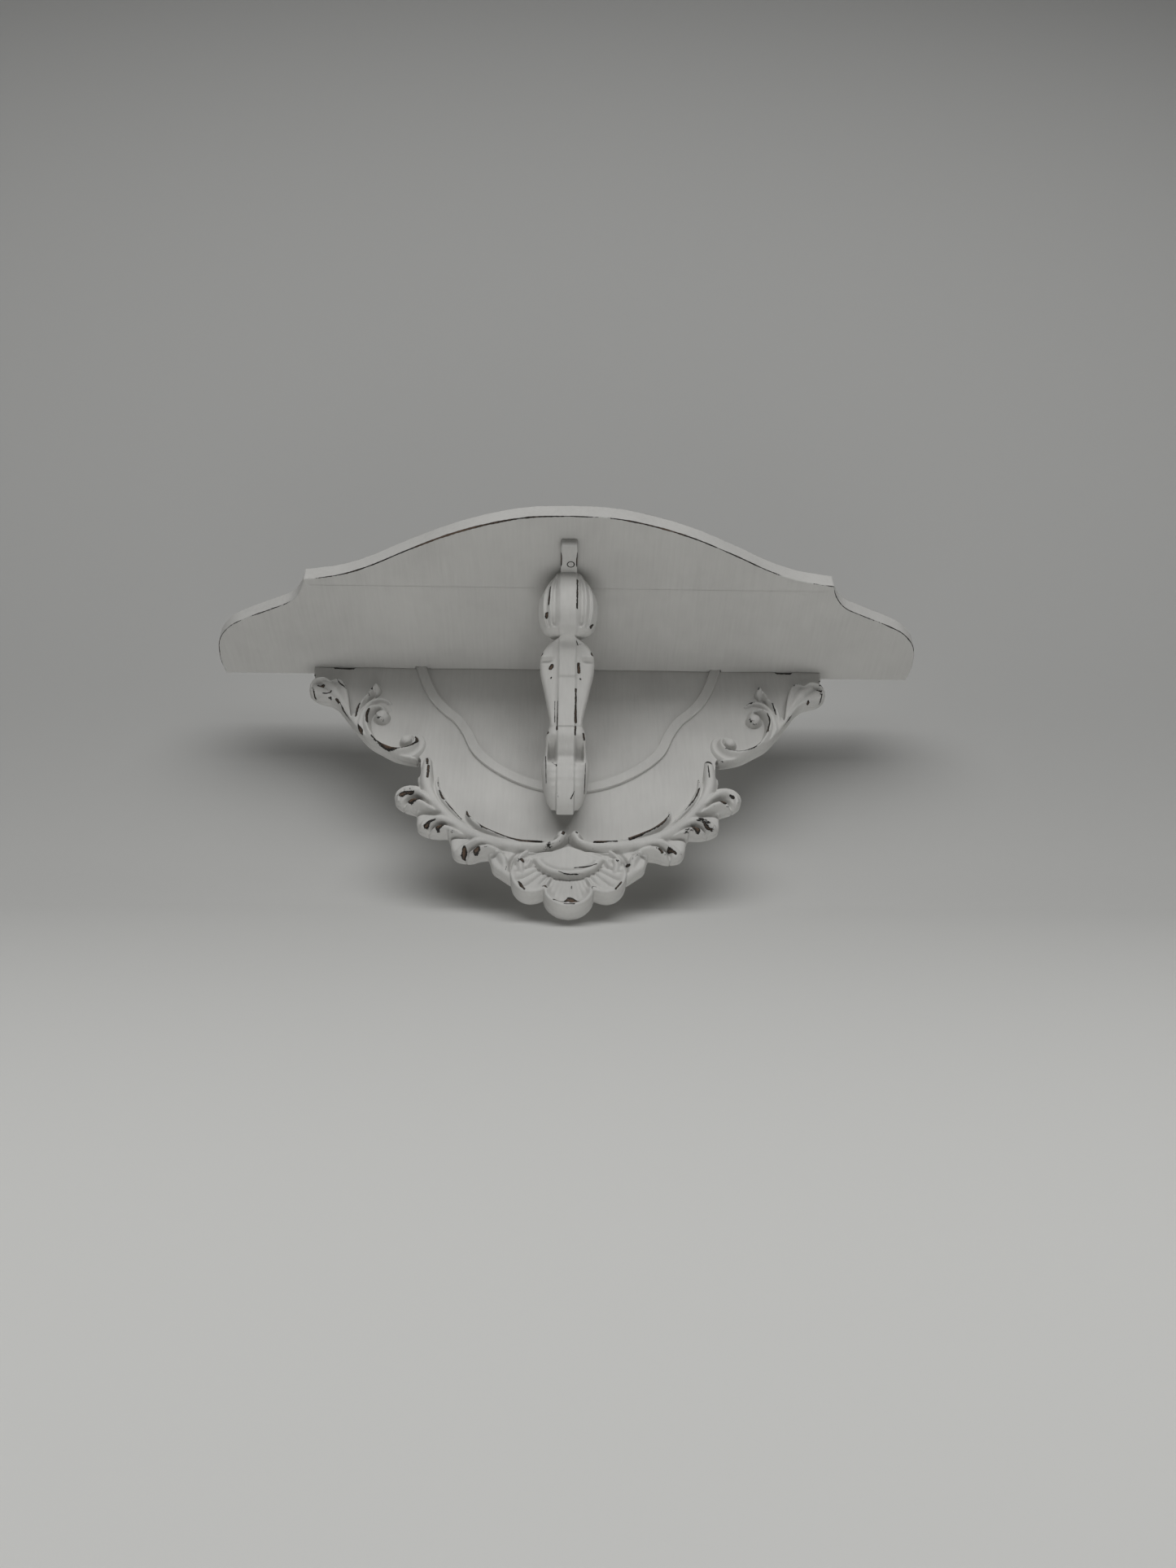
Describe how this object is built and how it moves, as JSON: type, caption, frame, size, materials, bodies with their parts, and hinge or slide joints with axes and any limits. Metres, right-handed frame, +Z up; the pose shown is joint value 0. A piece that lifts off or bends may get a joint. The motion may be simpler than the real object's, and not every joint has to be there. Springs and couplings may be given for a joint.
{
  "type": "wall console shelf",
  "caption": "Painted wooden wall shelf: bowed top board on a carved scroll and shell back plate, held by a central S-shaped console leg and hung on keyhole plates.",
  "frame": {"origin": "on the wall plane, midway between the entry holes of the two keyhole hangers", "axes": "+Z up, +Y into the wall (the room is on the -Y side), +X along the wall to the right as seen from the room"},
  "size_m": [0.5622, 0.1665, 0.247],
  "materials": {
    "painted_wood": "off-white chalk paint, brushed, rubbed through to dark brown along the edges",
    "painted_steel": "screw heads painted over with the same off-white paint, chipped",
    "zinc_steel": "dull zinc-plated steel"
  },
  "bodies": {
    "root": {"shelf_board": "painted_wood", "back_plate": "painted_wood", "console_leg": "painted_wood", "board_screws": "painted_steel", "tongue_screw": "painted_steel", "foot_screws": "zinc_steel", "keyhole_hanger_left": "zinc_steel", "keyhole_hanger_right": "zinc_steel", "hanger_screws": "zinc_steel"}
  },
  "joints": []
}
